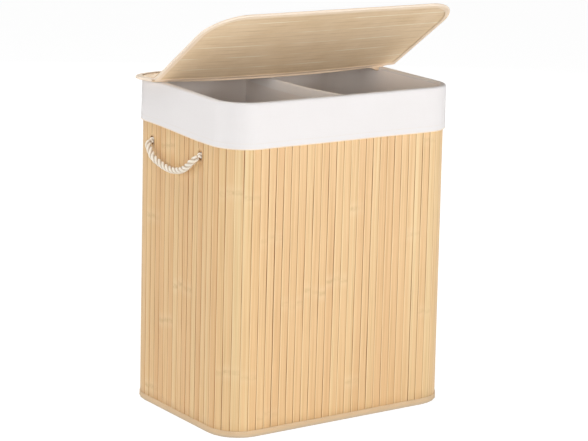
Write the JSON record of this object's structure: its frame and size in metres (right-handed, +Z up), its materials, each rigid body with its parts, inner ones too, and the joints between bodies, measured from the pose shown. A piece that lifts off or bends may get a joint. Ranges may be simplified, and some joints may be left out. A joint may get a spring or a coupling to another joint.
{
  "type": "laundry hamper",
  "caption": "Upright rounded laundry hamper of bamboo slats with a hinged slatted lid, two lined bins under a fold-over cloth cuff, and a rope handle at each end.",
  "frame": {"origin": "middle of the underside of the base, on the surface the hamper stands on", "axes": "+Z up, -Y towards the front (the long side away from the lid's hinge), +X to the right as seen from the front; the lid rests open as pictured"},
  "size_m": [0.567, 0.3693, 0.7894],
  "materials": {
    "bamboo": "flat bamboo slats, lightly lacquered, glued to a cloth backing",
    "lid_bamboo": "flat bamboo slats on a cloth backing",
    "binding_tape": "woven cotton tape",
    "liner_cotton": "plain woven cotton and polyester cloth",
    "rope": "twisted three-strand cotton rope",
    "steel_wire": "zinc-plated spring wire",
    "hardboard": "pressed hardboard"
  },
  "bodies": {
    "hamper": {"bamboo_wall": "bamboo", "wall_seam_tape": "binding_tape", "top_binding": "binding_tape", "top_wire_ring": "steel_wire", "bottom_binding": "binding_tape", "bottom_wire_ring": "steel_wire", "base_cloth": "binding_tape", "base_board": "hardboard", "liner_cuff": "liner_cotton", "liner_bag_wall": "liner_cotton", "liner_floor": "liner_cotton", "bin_divider": "liner_cotton", "divider_hem": "liner_cotton", "left_front_knot": "rope", "left_rear_knot": "rope", "right_front_knot": "rope", "right_rear_knot": "rope", "lid_rear_slats": "lid_bamboo", "lid_rear_binding": "binding_tape", "lid_rear_wire": "steel_wire", "lid_tab_left": "binding_tape", "lid_tab_right": "binding_tape"},
    "lid_flap": {"lid_flap_slats": "lid_bamboo", "lid_flap_binding": "binding_tape", "lid_flap_wire": "steel_wire"},
    "left_handle": {"left_rope_handle": "rope"},
    "right_handle": {"right_rope_handle": "rope"}
  },
  "joints": [
    {"name": "lid_hinge", "type": "hinge", "parent": "hamper", "child": "lid_flap", "pos_m": [0, 0.0645, 0.6342], "axis": [-1, 0, 0], "range_deg": [-34.9, 91.1]},
    {"name": "left_handle_swing", "type": "hinge", "parent": "hamper", "child": "left_handle", "pos_m": [-0.2638, 0.0135, 0.5215], "axis": [0, 1, 0], "range_deg": [0, 135]},
    {"name": "right_handle_swing", "type": "hinge", "parent": "hamper", "child": "right_handle", "pos_m": [0.2638, 0.0135, 0.5215], "axis": [0, -1, 0], "range_deg": [0, 135]}
  ]
}
